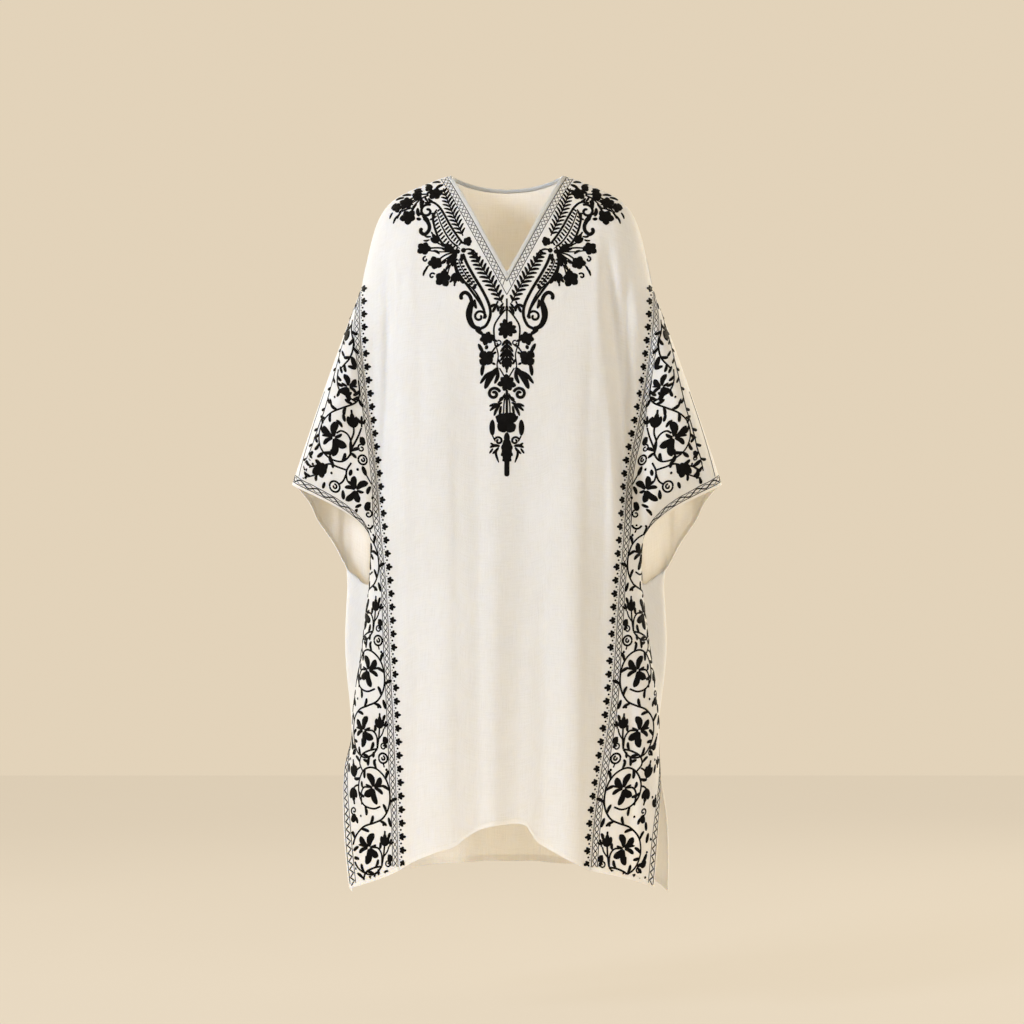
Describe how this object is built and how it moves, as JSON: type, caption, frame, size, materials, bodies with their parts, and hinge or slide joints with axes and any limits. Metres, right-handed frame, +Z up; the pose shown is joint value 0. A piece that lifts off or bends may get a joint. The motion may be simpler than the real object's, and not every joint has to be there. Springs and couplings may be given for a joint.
{
  "type": "kaftan",
  "caption": "Loose V-neck kaftan with batwing sleeves, embroidered neck and sides, side slits and a curved hem, in its worn shape.",
  "frame": {"origin": "midway between the two neck points, on top of the shoulder line", "axes": "+Z up, the front of the garment faces -Y, the viewer's right is +X"},
  "size_m": [0.773, 0.2921, 1.2975],
  "materials": {
    "cream_cloth": "fine crinkled cotton weave",
    "cream_binding": "folded bias strip"
  },
  "bodies": {
    "root": {"front_panel": "cream_cloth", "back_panel": "cream_cloth", "side_front_left": "cream_cloth", "side_front_right": "cream_cloth", "side_back_left": "cream_cloth", "side_back_right": "cream_cloth", "neck_binding": "cream_binding"}
  },
  "joints": []
}
